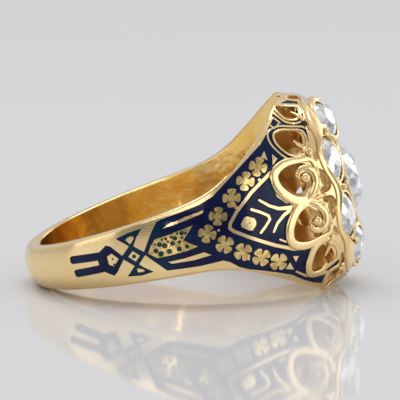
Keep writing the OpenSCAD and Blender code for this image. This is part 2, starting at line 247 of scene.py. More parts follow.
def solid(mesh, steps):
    """The mesh after a list of boolean steps, each ("DIFFERENCE", "UNION" or "INTERSECT", mesh)."""
    body = bpy.data.objects.new("working", mesh)
    bpy.context.scene.collection.objects.link(body)
    tools = []
    for operation, tool in steps:
        other = bpy.data.objects.new("tool", tool)
        bpy.context.scene.collection.objects.link(other)
        tools.append(other)
        modifier = body.modifiers.new("cut", "BOOLEAN")
        modifier.operation = operation
        modifier.solver = "MANIFOLD"
        modifier.object = other
    graph = bpy.context.evaluated_depsgraph_get()
    result = bpy.data.meshes.new_from_object(body.evaluated_get(graph))
    for o in [body] + tools:
        bpy.data.objects.remove(o)
    return result


def delete_slivers(mesh, merge=0.0004):
    """Joins points that the boolean steps left all but on each other, and dissolves faces without area."""
    bm = bmesh.new()
    bm.from_mesh(mesh)
    bmesh.ops.triangulate(bm, faces=bm.faces)
    bmesh.ops.remove_doubles(bm, verts=bm.verts, dist=merge)
    bmesh.ops.dissolve_degenerate(bm, edges=bm.edges, dist=merge)
    bm.to_mesh(mesh)
    bm.free()


def add_piece(name, mesh, material, smooth_angle, replaces):
    """Lays the mesh down in the model's frame as a piece of the ring."""
    mesh = mesh.copy()
    mesh.polygons.foreach_set("use_smooth", [True] * len(mesh.polygons))
    mesh.set_sharp_from_angle(angle=math.radians(smooth_angle))
    delete_slivers(mesh)
    mesh.name = name
    mesh.transform(PLACE)
    mesh.materials.clear()
    mesh.materials.append(material)
    piece = bpy.data.objects.new(name, mesh)
    bpy.context.scene.collection.objects.link(piece)
    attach(piece, "root")
    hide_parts(replaces)


# Gold body

# The grid of the outer surface: steps of s from the back to the rim, and steps of t across it
TAIL_STEPS, BODY_STEPS, RIM_STEPS, CROSS_STEPS = 64, 96, 24, 64
STATIONS = np.concatenate([np.arange(TAIL_STEPS) / TAIL_STEPS,
                           1 + np.arange(BODY_STEPS) / BODY_STEPS,
                           2 + np.arange(RIM_STEPS + 1) / RIM_STEPS])
ACROSS = np.sin(np.radians(90 * (2 * np.arange(CROSS_STEPS + 1) / CROSS_STEPS - 1)))


def blank():
    """The gold body before anything is cut from it."""
    s, t = np.meshgrid(STATIONS, ACROSS, indexing="ij")
    near = skin(s, t)
    far = near * [1, -1, 1]
    rows, columns = near.shape[:2]
    count = rows * columns
    points = [near.reshape(-1, 3), far.reshape(-1, 3)]
    faces = grid_faces(rows, columns) + grid_faces(rows, columns, count, flip=True)
    faces += strip_faces(rows, columns)
    rim = np.concatenate([near[-1], far[-1, -2:0:-1]])
    shares = 1 - np.linspace(0, 1, 36) ** 1.6
    rings = [rim]
    for share in shares[1:-1]:
        ring = rim * share
        ring[:, 0] = plate_x(ring[:, 1], ring[:, 2])
        rings.append(ring)
    start = 2 * count
    n = len(rim)
    points.append(np.concatenate(rings))
    faces += grid_faces(len(rings), n, start, around=True)
    points.append(np.array([[float(plate_x(0.0, 0.0)), 0, 0]]))
    last = start + (len(rings) - 1) * n
    faces += [[last + k, last + (k + 1) % n, start + len(rings) * n] for k in range(n)]
    return new_mesh("blank", np.concatenate(points), faces, merge=1e-4)


def bore_cutter():
    """The finger hole; its mouths follow the band's edges, the upper one worn rounder on the near side."""
    angles = np.radians(np.arange(0, 360, 1.5))
    x = BORE_R * np.cos(angles)
    worn = smooth_table([[-8.25, 1], [5, 1], [6.5, 0.7], [7.6, 0.1], [8.25, 0]])(x)
    worn = worn * np.clip(0.6 - BORE_R * np.sin(angles) / 7, 0, 1)
    rings = []
    for side in (-1, 1):
        part = []
        wide, deep = (EDGE_ROUND + extra * worn * (side > 0) for extra in (MOUTH_WIDE, MOUTH_DEEP))
        for a in np.radians(np.linspace(0, 90, 9)):
            r = BORE_R + wide * (1 - math.sin(a))
            z = half_width(x) + MOUTH_OVERLAP - deep * (1 - math.cos(a))
            part.append(np.stack([r * np.cos(angles), r * np.sin(angles), side * z], -1))
        outer = part[0].copy()
        outer[:, 2] = side * CUTTER_REACH
        part = [outer] + part
        rings += part if side < 0 else part[::-1]
    return stack_mesh("bore", rings)


def head_hollow():
    """The hollow under the stone plate, open to the finger hole."""
    foot, top = 6.9, float(plate_x(0.0, 0.0)) - PLATE_THICKNESS
    share = smooth_table([[foot, 0.8], [7.8, 0.97], [8.6, 1], [9.3, 0.96], [top, 0.78]])
    a = np.radians(np.arange(0, 360, 3))
    rings = []
    for x in np.linspace(foot, top, 16):
        half = half_width(x) if x < HEAD_X else crown_half(x)
        y = (outline_y(x) - GALLERY_WALL * 1.2) * share(x)
        z = (half - GALLERY_WALL) * share(x)
        rings.append(np.stack([np.full_like(a, x), y * np.cos(a), z * np.sin(a)], -1))
    return stack_mesh("hollow", rings)


# Scroll openings round the gallery, for one quarter of the head: [y, z, x, size]
OPENINGS = [[6.0, 1.36, 7.95, 1], [5.25, 3.65, 8.19, 0.78], [3.5, 5.25, 8.48, 0.62], [1.2, 5.7, 8.92, 0.44]]
# Outlines and paths in an opening's own frame, for the largest one: [away from the middle, up the wall]
HOLE = [[0.25, -1.1], [0.68, -0.9], [0.98, -0.36], [1.03, 0.3], [0.96, 0.95], [0.3, 1.12], [-0.4, 0.92],
        [-0.81, 0.64], [-1.04, 0.15], [-0.94, -0.43], [-0.36, -0.96]]
# The arm that curls into the largest openings from the palmette, and the one that enters others by the rim
ARM = [[-1.2, 0.22], [-0.9, 0.65], [-0.25, 1.03], [0.3, 1.0], [0.55, 0.75], [0.56, 0.42], [0.38, 0.17],
       [0.16, 0.16], [0.04, 0.3]]
ARM_RADII = [0.14, 0.24, 0.3, 0.3, 0.25, 0.18, 0.12]
ARM_BALL = [0.04, 0.45]
RIM_ARM = [[-0.8, 1.15], [-0.6, 1.0], [-0.38, 0.78], [-0.15, 0.5], [0.07, 0.27]]
RIM_ARM_RADII = [0.26, 0.24, 0.16, 0.09]
RIM_ARM_BALL = [-0.6, 0.84]
# Chart places of small balls between the scrolls, above the middle, and of the palmette's stem
WALL_BALLS = [[9.14, 2.75], [9.2, 1.65]]
STEM = [[7.5, -0.06], [7.9, -0.03], [8.3, 0]]
# The palmette's lobes: [angle in degrees, reach] from its foot at this x
PALMETTE_X = 7.95
LOBES = [[-48, 1.1], [-24, 1.35], [0, 1.45], [24, 1.35], [48, 1.1]]
# Larger outlines, as shares of the opening: the middle of its frame, and the plain gold round it
FRAME_GROWTH = 1.15
GOLD_AREA_GROWTH = 1.34
# The frame's half width along the outline: broad towards the shank, narrow at the rim
FRAME_RADII = [0.3, 0.28, 0.25, 0.21, 0.17, 0.15, 0.17, 0.22, 0.27, 0.3, 0.31, 0.3]
# The upper openings of middle size have a fine edge and an enamelled border with a line round it
FINE_GROWTH = 1.07
FINE_RADIUS = 0.075
FINE_AREA_GROWTH = 1.13
BORDER_GROWTH = 1.42
BORDER_LINE = 0.1
# An opening faces outwards from an oval with these squares of its half sizes, across and along the finger
FACING_OVAL = (36, 30)
# How far out of an opening's plane, up or down, the wall is looked for
WALL_SEARCH = 2.5


def between_points(a, b, c, d, count):
    """Points on smooth curves from each b towards its c; a is the point before b, and d the one after c."""
    parts = []
    for k in range(count):
        t = k / count
        parts.append(0.5 * (2 * b + (c - a) * t + (2 * a - 5 * b + 4 * c - d) * t ** 2
                            + (3 * b - a - 3 * c + d) * t ** 3))
    return np.stack(parts, 1).reshape(-1, b.shape[1])


def smooth_loop(points, count=6):
    """A closed curve through the points."""
    p = np.asarray(points, float)
    return between_points(np.roll(p, 1, 0), p, np.roll(p, -1, 0), np.roll(p, -2, 0), count)


def smooth_path(points):
    """An open curve through the points."""
    p = np.asarray(points, float)
    p = np.concatenate([[2 * p[0] - p[1]], p, [2 * p[-1] - p[-2]]])
    return np.concatenate([between_points(p[:-3], p[1:-2], p[2:-1], p[3:], 6), p[-2:-1]])


def near_openings():
    """Each near opening's matrix, its size, and whether it is fine.

    The matrix takes [up the wall, out of it, away from the middle] to the ring's frame."""
    for y, z, x, size in OPENINGS:
        for side_z in (-1, 1):
            turn = math.atan2(side_z * z / FACING_OVAL[1], -y / FACING_OVAL[0])
            matrix = (Matrix.Translation((x, -y, side_z * z)) @ Matrix.Rotation(turn, 4, "X")
                      @ Matrix.Diagonal((size, 1, -side_z * size, 1)))
            yield matrix, size, side_z > 0 and 0.5 < size < 1


def on_wall(matrix, rows, lift=0.0):
    """Points on the near wall for rows of [away from the middle, up the wall] in an opening's own frame."""
    rows = np.asarray(rows, float)
    turn = np.array(matrix)
    low, high = np.full(len(rows), -WALL_SEARCH), np.full(len(rows), WALL_SEARCH)
    for _ in range(30):
        depth = (low + high) / 2
        p = np.stack([rows[:, 1], depth, rows[:, 0], np.ones(len(rows))], -1) @ turn.T
        inside_wall = -p[:, 1] < outline_y(p[:, 0]) * crowned(p[:, 2] / crown_half(p[:, 0]))
        low, high = np.where(inside_wall, depth, low), np.where(inside_wall, high, depth)
    return np.array([wall_point(q[0], q[2], lift) for q in p])


def opening_cutters():
    """All the scroll openings, each narrower towards the inside of the head."""
    outline = smooth_loop(HOLE)
    cutters = []
    for matrix, _, _ in near_openings():
        rings = [[matrix @ Vector((v * share, depth, u * share)) for u, v in outline]
                 for depth, share in ((-1.6, 0.5), (-0.9, 0.66), (-0.12, 1), (1.7, 1))]
        cutters += both_sides(stack_mesh("opening", rings))
    return joined("openings", cutters)


def frame_outlines():
    """The gold round each opening, on the enamel's chart."""
    outline = smooth_loop(HOLE, 3)
    shapes = []
    for matrix, _, fine in near_openings():
        growth = FINE_AREA_GROWTH if fine else GOLD_AREA_GROWTH
        shapes.append(on_wall(matrix, outline * growth)[:, [0, 2]])
        if fine:
            border = on_wall(matrix, outline * BORDER_GROWTH)[:, [0, 2]]
            shapes += stroke(np.concatenate([border, border[:1]]), BORDER_LINE, BORDER_LINE)
    return shapes


# Relief of the gallery: scroll frames, curled arms and palmette, then the cuts by the rim

def unit(v):
    """The same directions at length 1."""
    return v / np.maximum(np.linalg.norm(v, axis=-1, keepdims=True), 1e-9)


def tube(path, radii, up, sides=12, closed=False, flat=1.0, square=1.0):
    """A bar along a path, whose radii are spread evenly over it.

    up is the way it stands out, flat is its height as a share of its width, and a square under 1 makes
    its section squarer."""
    path = np.asarray(path, float)
    n = len(path)
    radii = np.interp(np.linspace(0, 1, n), np.linspace(0, 1, len(radii)), radii)
    along = unit(np.roll(path, -1, 0) - np.roll(path, 1, 0) if closed else np.gradient(path, axis=0))
    across = unit(np.cross(np.broadcast_to(up, path.shape), along))
    rise = np.cross(along, across)
    a = np.radians(np.arange(sides) * 360 / sides)
    wide, high = (np.sign(v) * np.abs(v) ** square for v in (np.cos(a), np.sin(a)))

    def ring(k, radius, shift=0.0):
        section = np.outer(wide, across[k]) + flat * np.outer(high, rise[k])
        return path[k] + along[k] * shift + radius * section
    rings = [ring(k, radii[k]) for k in range(n)]
    if closed:
        rings = np.array(rings)
        faces = grid_faces(n, sides, around=True)
        last = (n - 1) * sides
        faces += [[last + j, last + (j + 1) % sides, (j + 1) % sides, j] for j in range(sides)]
        return new_mesh("tube", rings.reshape(-1, 3), faces, merge=1e-5)
    caps = [(math.cos(q), math.sin(q)) for q in np.radians([25, 50, 72])]
    start = [ring(0, radii[0] * c, -radii[0] * h) for c, h in caps][::-1]
    end = [ring(n - 1, radii[-1] * c, radii[-1] * h) for c, h in caps]
    return stack_mesh("tube", start + rings + end)


def wall_path(points, lift=0.0):
    """A smooth path on the near wall through chart places [x, z]."""
    return np.array([wall_point(x, z, lift) for x, z in smooth_path(points)])


def wall_normals(path):
    """The way out of the wall at each point of a path."""
    return unit(np.array([wall_point(x, z, 1.0) - wall_point(x, z) for x, _, z in path]))


def scroll_frame(matrix, size, fine):
    """The raised frame round one opening: a broad flat band, or a fine wire."""
    if fine:
        path = on_wall(matrix, smooth_loop(HOLE) * FINE_GROWTH)
        return tube(path, [FINE_RADIUS], wall_normals(path), 20, closed=True, square=0.55)
    path = on_wall(matrix, smooth_loop(HOLE) * FRAME_GROWTH, 0.0 if size > 0.75 else -0.05)
    radii = [r * size for r in FRAME_RADII]
    return tube(path, radii, wall_normals(path), 20, closed=True, flat=0.5, square=0.55)


def curled_arm(matrix, size):
    """The arm inside one opening, and the ball at its end."""
    large = size == 1
    path = on_wall(matrix, smooth_path(ARM if large else RIM_ARM), 0.02)
    radii = [r * size for r in (ARM_RADII if large else RIM_ARM_RADII)]
    place = on_wall(matrix, [ARM_BALL if large else RIM_ARM_BALL], 0.16 if large else 0.06)[0]
    return [tube(path, radii, wall_normals(path), 16, flat=0.8, square=0.8),
            ball(place, 0.32 if large else 0.24 * size)]


def gallery_relief():
    """The raised scrolls of the near side, as a list of closed solids; the smallest openings have none."""
    parts = []
    for matrix, size, fine in near_openings():
        if size > 0.5:
            parts += [scroll_frame(matrix, size, fine)] + curled_arm(matrix, size)
    for x, z in WALL_BALLS:
        parts += [ball(wall_point(x, z * side, 0.02), 0.17) for side in (-1, 1)]
    stem = wall_path(STEM)
    parts.append(tube(stem, [0.2, 0.26, 0.2], wall_normals(stem), 16, flat=0.6, square=0.8))
    for angle, reach in LOBES:
        a = math.radians(angle)
        lobe = wall_path([[PALMETTE_X + reach * share * math.cos(a), reach * share * math.sin(a)]
                          for share in (0.1, 0.45, 0.8, 1)], 0.02)
        parts.append(tube(lobe, [0.05, 0.12, 0.15, 0.06], wall_normals(lobe)))
    return parts


def rim_groove():
    """The fine line cut round the head, a little below its rim."""
    t = np.sin(np.radians(np.linspace(-90, 90, 81)))
    x = rim_x(t) - 0.24
    y = outline_y(x) * crowned(t)
    z = t * crown_half(x)
    near, far = np.stack([x, -y, z], -1), np.stack([x, y, z], -1)
    return tube(np.concatenate([near, far[-2:0:-1]]), [0.075], (1, 0, 0), 8, closed=True)


# Hollows between the scrolls and the rim, as paths on the chart, and their radius
HOLLOWS = [([[9.25, 0.26], [9.58, 0.45], [9.58, 1.0], [9.42, 1.4]], 0.33),
           ([[9.38, 2.1], [9.43, 2.55]], 0.19),
           ([[9.15, 4.75], [9.3, 4.4], [9.36, 3.9]], 0.22)]


def hollows_by_rim():
    """The hollows between the scrolls and the rim, on the near side."""
    paths = [(wall_path([[x, z * side] for x, z in path], 0.02), r)
             for path, r in HOLLOWS for side in (-1, 1)]
    return [tube(path, [r * 0.5, r, r, r * 0.6], wall_normals(path)) for path, r in paths]


# Stones' places and their settings

# The centre stone's diameter, and the width of the others
CENTRE_D = 4.3
SIDE_WIDTH = 2.15
# How far the settings reach below the middle of their stones
CENTRE_DEPTH = 2.8
SIDE_DEPTH = 1.8
# The centre stone's place; each stone's own Z points out of the head
CENTRE_MATRIX = Matrix.Translation((10.74, 0, 0)) @ Matrix.Rotation(math.pi / 2, 4, "Y")
# The gold grains between the stones lie on an oval with these half sizes, across and along the finger
GRAIN_OVAL = (4.05, 4.95)
# Surrounding stones, from the top of the head to its lower end, the same on both sides:
# [x, y, z, length, turn of the lean towards the ends, lean]
STONES = [[10.44, 1.3, 3.92, 2.5, 50, 27], [10.16, 3.1, 1.75, 2.8, 23, 27],
          [10.18, 3.1, -1.75, 2.8, 23, 25], [10.3, 1.3, -3.92, 2.5, 50, 25]]


def stone_settings():
    """For each stone, the centre one first: its place, length and width, and its setting's depth."""
    yield CENTRE_MATRIX, CENTRE_D, CENTRE_D, CENTRE_DEPTH
    for x, y, z, length, turn, lean in STONES:
        turn = math.radians(turn)
        for side in (-1, 1):
            turned = math.atan2(math.sin(turn) * math.copysign(1, z), math.cos(turn) * side)
            place = (Matrix.Translation((x, side * y, z)) @ Matrix.Rotation(turned, 4, "X")
                     @ Matrix.Rotation(math.radians(lean), 4, "Z") @ Matrix.Rotation(math.pi / 2, 4, "Y"))
            yield place, length, SIDE_WIDTH, SIDE_DEPTH


def oval_stack(name, rows, sides=48):
    """Ovals about Z: rows are [height, half size along X, half size along Y]."""
    a = np.radians(np.arange(sides) * 360 / sides)
    return stack_mesh(name, [np.stack([x * np.cos(a), y * np.sin(a), np.full_like(a, h)], -1)
                             for h, x, y in rows])


def collet(length, width, depth):
    """The gold round a stone, with a thin rounded rim; its rows are [height, reach past the stone]."""
    rows = [[-depth, -0.25], [-0.7, 0.2], [-0.25, 0.27], [-0.05, 0.27], [0.06, 0.24], [0.12, 0.17],
            [0.14, 0.08]]
    return oval_stack("collet", [[h, length / 2 + g, width / 2 + g] for h, g in rows])


def clearing(length, width):
    """Room cut into the plate round a stone, so that the rim dips beside it and rises between two."""
    return oval_stack("clearing", [[h, length / 2 + g, width / 2 + g] for h, g in ((-0.1, 0.3), (2, 0.6))])


def seat(length, width, depth):
    """Room for a stone in its collet, with a hole below it."""
    gap = 0.04
    return oval_stack("seat", [
        [-depth - 0.5, length * 0.2, width * 0.2], [-depth * 0.5, length * 0.24, width * 0.24],
        [-0.06, length / 2 + gap, width / 2 + gap], [1, length / 2 + gap, width / 2 + gap]])


def ball(centre, radius):
    """A ball whose poles point along the finger."""
    rows = [[radius * math.sin(a), radius * math.cos(a), radius * math.cos(a)]
            for a in np.radians(np.linspace(-90, 90, 11)[1:-1])]
    return moved(oval_stack("ball", rows, 20), Matrix.Translation(Vector(centre)))


def grains():
    """The gold grains between the stones, an outer and an inner one in each of 8 directions."""
    parts = []
    for i in range(8):
        a = math.radians(45 * i)
        y, z = GRAIN_OVAL[0] * math.cos(a), GRAIN_OVAL[1] * math.sin(a)
        for share_y, share_z, radius, lift in ((1, 1, 0.2, 0.03), (0.62, 0.54, 0.17, 0.06)):
            centre = (float(plate_x(y * share_y, z * share_z)) + lift, y * share_y, z * share_z)
            parts.append(ball(centre, radius))
    return parts


def gold_mesh():
    """The whole gold body: the blank with its cuts, what stands out, the stones' seats and the hole."""
    recess = solid(sheet(-0.6, ENAMEL_DEPTH + 0.02), [("INTERSECT", pattern_prism())])
    first, *rest = gallery_relief()
    relief = solid(first, [("UNION", mesh) for mesh in rest])
    cuts = [head_hollow(), opening_cutters(), rim_groove()] + both_sides(recess)
    cuts += [mesh for hollow in hollows_by_rim() for mesh in both_sides(hollow)]
    stones = list(stone_settings())
    cuts += [moved(clearing(length, width), place) for place, length, width, _ in stones[1:]]
    collets = [moved(collet(length, width, depth), place) for place, length, width, depth in stones]
    raised = both_sides(relief) + collets + grains()
    seats = [moved(seat(length, width, depth), place) for place, length, width, depth in stones]
    steps = [("DIFFERENCE", mesh) for mesh in cuts] + [("UNION", mesh) for mesh in raised]
    return solid(blank(), steps + [("DIFFERENCE", mesh) for mesh in seats + [bore_cutter()]])


# Enamel pattern, drawn as seen from the side: [x along the head direction, z along the finger]

ENAMEL = {
    "bars and hexagon": [
        [-6.2, 0.2], [-4.62, 0.15], [-4.62, -0.13], [-6.12, -0.16], [-6.24, -0.26], [-6.22, -0.54],
        [-6.1, -0.64], [-4.4, -0.6], [-3.9, -0.94], [-3.66, -0.78], [-3.0, 0], [-3.66, 0.83], [-3.92, 0.94],
        [-4.4, 0.63], [-6.14, 0.68], [-6.28, 0.58], [-6.3, 0.3]],
    "lattice": [[-3.24, 0.03], [-2.46, 0.68], [-1.66, -0.04], [-2.42, -0.74]],
    "upper triangle": [
        [-3.22, 1.19], [-2.4, 1.38], [-1.56, 1.45], [-2.02, 0.97], [-2.4, 0.4], [-2.72, 0.74]],
    "lower triangle": [
        [-3.14, -1.16], [-2.3, -1.29], [-1.54, -1.23], [-2.02, -0.84], [-2.38, -0.45], [-2.7, -0.75]],
    "shoulder": [
        [-1.86, -0.03], [-1.16, 0.95], [-0.62, 1.6], [-0.31, 1.68], [0.88, 1.76], [2.13, 1.88], [3.0, 2.12],
        [3.7, 2.52], [4.45, 2.95], [5.55, 3.56], [6.45, 4.05], [6.95, 4.5], [7.35, 5.05], [7.6, 5.45],
        [7.95, 5.72], [8.6, 5.72], [9.15, 5.5], [9.3, 5.0], [9.3, 4.2], [9.25, 3.3], [8.6, 2.75],
        [7.78, 2.66], [7.37, 2.46], [6.77, 2.2], [6.47, 1.65], [6.6, 0.85], [7.05, 0.28], [7.75, 0.05],
        [7.85, -0.12], [7.7, -0.4], [7.2, -0.52], [6.72, -1.0], [6.6, -1.6], [6.85, -2.2], [7.4, -2.62],
        [8.1, -2.75], [9.0, -3.4], [9.1, -4.3], [8.45, -4.75], [8.5, -5.1], [7.9, -5.35], [7.3, -5.02],
        [6.81, -4.62], [6.2, -4.0], [5.4, -3.52], [4.55, -3.06], [3.85, -2.72], [3.37, -2.4], [2.95, -1.95],
        [2.58, -1.72], [1.18, -1.64], [-0.75, -1.37], [-1.22, -0.8]],
}
# Gold that is left standing in the enamel's areas
GOLD_ISLANDS = {
    "hexagon": [[-4.02, 0.26], [-3.7, 0.4], [-3.37, 0], [-3.76, -0.38], [-4.02, -0.22]],
    "lattice square": [[-2.42, 0.27], [-2.08, -0.1], [-2.42, -0.38], [-2.76, 0]],
    "upper drop": [[-2.67, 1.0], [-2.5, 1.12], [-2.25, 1.14], [-2.14, 1.04], [-2.3, 0.82], [-2.48, 0.7]],
    "lower drop": [[-2.45, -0.8], [-2.2, -0.9], [-2.02, -1.04], [-2.2, -1.08], [-2.46, -1.05]],
    "dotted panel": [
        [-1.58, -0.1], [-1.3, 0.3], [-0.95, 0.63], [-0.2, 0.67], [0.7, 0.76], [1.43, 0.84], [1.0, 0.45],
        [0.64, 0.14], [1.0, -0.18], [1.38, -0.46], [0.68, -0.54], [-0.3, -0.53], [-1.1, -0.5]],
    "upper line": [
        [-0.36, 1.12], [0.5, 1.17], [1.4, 1.25], [2.16, 1.35], [2.24, 1.5], [1.3, 1.44], [-0.03, 1.28]],
    "lower line": [[-0.56, -0.88], [0.4, -0.93], [1.63, -0.9], [2.0, -1.18], [1.0, -1.19], [-0.36, -1.04]],
    "square": [[4.42, 0.33], [4.62, 0.36], [4.98, 0.1], [5.04, -0.1], [4.99, -0.3], [4.72, -0.55],
               [4.52, -0.5], [4.14, -0.14], [4.14, 0.04]],
    "upper triangle 1": [[6.56, 3.62], [6.28, 3.35], [6.62, 3.06]],
    "upper triangle 2": [[6.96, 3.3], [7.2, 2.95], [6.84, 2.7]],
    "lower triangle 1": [[6.55, -2.9], [6.88, -3.0], [6.63, -3.3]],
    "lower triangle 2": [[6.29, -3.2], [6.4, -3.72], [5.94, -3.5]],
}
# Gold lines: points, then the width at the start and at the end
GOLD_LINES = [
    ([[6.6, 2.32], [5.2, 1.6], [4.1, 0.82], [3.56, 0.28], [3.46, 0.02], [3.62, -0.22], [4.6, -1.02],
      [5.75, -1.88], [6.75, -2.5], [7.4, -2.68]], 0.2, 0.2),
    ([[4.96, 0.66], [5.4, 0.34], [5.82, -0.04], [5.84, -0.28], [5.5, -0.58], [5.14, -0.84]], 0.15, 0.15),
    ([[5.54, 1.02], [6.02, 0.5], [6.5, 0.15], [7.1, -0.02], [7.9, -0.1]], 0.12, 0.26),
    ([[5.86, -1.08], [6.2, -0.66], [6.7, -0.32], [7.2, -0.16], [7.9, -0.1]], 0.12, 0.26),
    ([[6.1, -1.64], [6.5, -1.98]], 0.1, 0.1),
    ([[6.5, -3.9], [6.95, -4.36], [7.5, -4.62], [8.3, -4.68]], 0.12, 0.2),
    ([[7.48, 4.62], [7.86, 4.83], [7.54, 5.22], [7.24, 4.9], [7.48, 4.62]], 0.08, 0.08),
]
# Quatrefoils: [x, z, turn in degrees]
CLOVERS = [[2.1, 0.1, -28], [2.98, 0.9, -20], [4.02, 1.68, -16], [5.05, 2.34, -25], [5.98, 2.88, -30],
           [2.92, -0.82, 12], [3.82, -1.6, 14], [4.76, -2.28, 12], [5.66, -2.92, 24]]
# One petal with its notch, pointing along x, and how far it reaches from the quatrefoil's middle
PETAL = [[-0.05, 0.13], [0.18, 0.14], [0.35, 0.26], [0.48, 0.24], [0.54, 0.1], [0.54, -0.1], [0.48, -0.24],
         [0.35, -0.26], [0.18, -0.14], [-0.05, -0.13]]
CLOVER_R = 0.54
# Round pits filled with green enamel, and plain gold dots: [x, z, radius]
PITS = [[-1.08, -0.05, 0.15], [-0.84, -0.3, 0.17], [-0.32, -0.28, 0.16], [0.28, -0.3, 0.15],
        [0.76, -0.28, 0.13], [-0.78, 0.26, 0.15], [-0.5, 0.12, 0.17], [-0.34, 0.5, 0.09],
        [-0.02, 0.12, 0.15], [0.2, 0.38, 0.14], [0.66, 0.56, 0.13], [0.4, 0.1, 0.1],
        [-0.26, 0.3, 0.08], [0.88, 0.5, 0.08], [-0.56, 0.5, 0.08], [0.02, 0.5, 0.08],
        [-1.04, 0.34, 0.06], [0.4, 0.62, 0.07], [0.62, 0.32, 0.08], [-0.2, -0.02, 0.05],
        [-2.43, -0.06, 0.12], [-3.72, 0.06, 0.06], [-3.72, -0.28, 0.07], [4.66, -0.08, 0.04]]
GOLD_DOTS = [[5.86, 2.14, 0.09], [4.14, 1.07, 0.1], [2.8, 0.1, 0.08], [4.04, -2.14, 0.06]]


def disc(x, z, radius, sides=18):
    """The outline of a round area."""
    a = np.radians(np.arange(sides) * 360 / sides)
    return np.stack([x + radius * np.cos(a), z + radius * np.sin(a)], -1)


def stroke(path, start, end):
    """The outline of a line of changing width, with rounded ends and corners, as simple polygons."""
    path = np.array(path, float)
    widths = np.linspace(start, end, len(path))
    parts = [disc(x, z, w / 2, 12) for (x, z), w in zip(path, widths)]
    for a, b, w0, w1 in zip(path, path[1:], widths, widths[1:]):
        side = np.array([a[1] - b[1], b[0] - a[0]]) / np.linalg.norm(b - a) / 2
        parts.append(np.array([a - side * w0, b - side * w1, b + side * w1, a + side * w0]))
    return parts


def quatrefoil(x, z, turn):
    """The outlines of four petals round a middle."""
    parts = []
    for k in range(4):
        a = math.radians(turn + 90 * k)
        axes = np.array([[math.cos(a), math.sin(a)], [-math.sin(a), math.cos(a)]])
        parts.append(np.array(PETAL) @ axes + [x, z])
    return parts


def pattern_parts():
    """Simple polygons of the enamel, of the gold in it, and of the pits in that gold."""
    blue = [np.array(p, float) for p in ENAMEL.values()]
    gold = [np.array(p, float) for p in GOLD_ISLANDS.values()]
    for line in GOLD_LINES:
        gold += stroke(*line)
    for row in CLOVERS:
        gold += quatrefoil(*row)
    gold += [disc(*row) for row in GOLD_DOTS]
    gold += frame_outlines()
    return blue, gold, [disc(*row) for row in PITS]


def inside(polygon, points):
    """Which points lie inside a polygon."""
    x, y = points[:, 0], points[:, 1]
    odd = np.zeros(len(points), bool)
    for (x0, y0), (x1, y1) in zip(polygon, np.roll(polygon, -1, 0)):
        if y0 != y1:
            odd ^= ((y0 > y) != (y1 > y)) & (x < x0 + (y - y0) * (x1 - x0) / (y1 - y0))
    return odd


def pattern_prism():
    """A prism across the near side, over the enamel's areas."""
    blue, gold, pits = pattern_parts()
    points, edges = [], []
    for shape in blue + gold + pits:
        n, start = len(shape), len(points)
        points += [Vector(p) for p in shape]
        edges += [(start + k, start + (k + 1) % n) for k in range(n)]
    flat, _, triangles, *_ = delaunay_2d_cdt(points, edges, [], 0, 1e-4)
    flat = np.array([tuple(p) for p in flat])
    triangles = np.array(triangles)
    middle = flat[triangles].mean(1)
    filled = np.zeros(len(middle), bool)
    for shapes, value in ((blue, True), (gold, False), (pits, True)):
        for shape in shapes:
            filled[inside(shape, middle)] = value
    return extruded("pattern", flat, triangles[filled], -PRISM_REACH, 0)


def extruded(name, flat, triangles, y0, y1):
    """A closed prism over triangles in the (x, z) plane, from y0 to y1."""
    n = len(flat)
    lower, upper = (np.stack([flat[:, 0], np.full(n, y), flat[:, 1]], -1) for y in (y0, y1))
    faces = [list(t) for t in triangles] + [[k + n for k in t[::-1]] for t in triangles]
    sides = {(a, b) for t in triangles for a, b in zip(t, np.roll(t, -1))}
    faces += [[b, a, a + n, b + n] for a, b in sides if (b, a) not in sides]
    return new_mesh(name, np.concatenate([lower, upper]), faces, merge=1e-6)


def sheet(low, high):
    """A thick sheet along the near outer surface, from one depth under it to another; below 0 is outside."""
    s, t = np.meshgrid(STATIONS[TAIL_STEPS // 3:-1], ACROSS, indexing="ij")
    step = 0.004
    t = np.where(s > 2 - step, t * 0.97, t)
    p = skin(s, t, 0)
    mid_s, mid_t = np.clip(s, step, 3 - step), np.clip(t, step - 1, 1 - step)
    along = skin(mid_s + step, mid_t, 0) - skin(mid_s - step, mid_t, 0)
    across = skin(mid_s, mid_t + step, 0) - skin(mid_s, mid_t - step, 0)
    normal = np.cross(along, across)
    normal /= -np.linalg.norm(normal, axis=-1, keepdims=True)
    layers = np.concatenate([(p + normal * depth).reshape(-1, 3) for depth in (low, high)])
    rows, columns = p.shape[:2]
    faces = grid_faces(rows, columns) + grid_faces(rows, columns, rows * columns, flip=True)
    return new_mesh("sheet", layers, faces + strip_faces(rows, columns, with_ends=True), merge=1e-6)


# Materials

def new_material(name):
    """A node material, its shader, its coordinates, and two functions: add a node, and fill its inputs."""
    material = bpy.data.materials.new(name)
    material.use_nodes = True
    tree = material.node_tree
    shader = tree.nodes["Principled BSDF"]
    coordinates = tree.nodes.new("ShaderNodeTexCoord").outputs["Object"]

    def fill(target, inputs):
        for key, value in inputs.items():
            if isinstance(value, bpy.types.NodeSocket):
                tree.links.new(value, target.inputs[key])
            else:
                target.inputs[key].default_value = value

    def node(kind, inputs, **properties):
        new = tree.nodes.new("ShaderNode" + kind)
        for key, value in properties.items():
            setattr(new, key, value)
        fill(new, inputs)
        return new
    return material, shader, coordinates, node, fill


def painted(node, name):
    """What paint() stored on the mesh under this name."""
    return node("Attribute", {}, attribute_name=name).outputs["Fac"]


def noise(node, coordinates, per_mm, detail=3.0, stretch=(1, 1, 1)):
    """A noise value with so many features in a millimetre."""
    scale = [1000 * per_mm * k for k in stretch]
    spread = node("Mapping", {"Vector": coordinates, "Scale": scale})
    return node("TexNoise", {"Vector": spread.outputs[0], "Scale": 1.0, "Detail": detail}).outputs["Fac"]


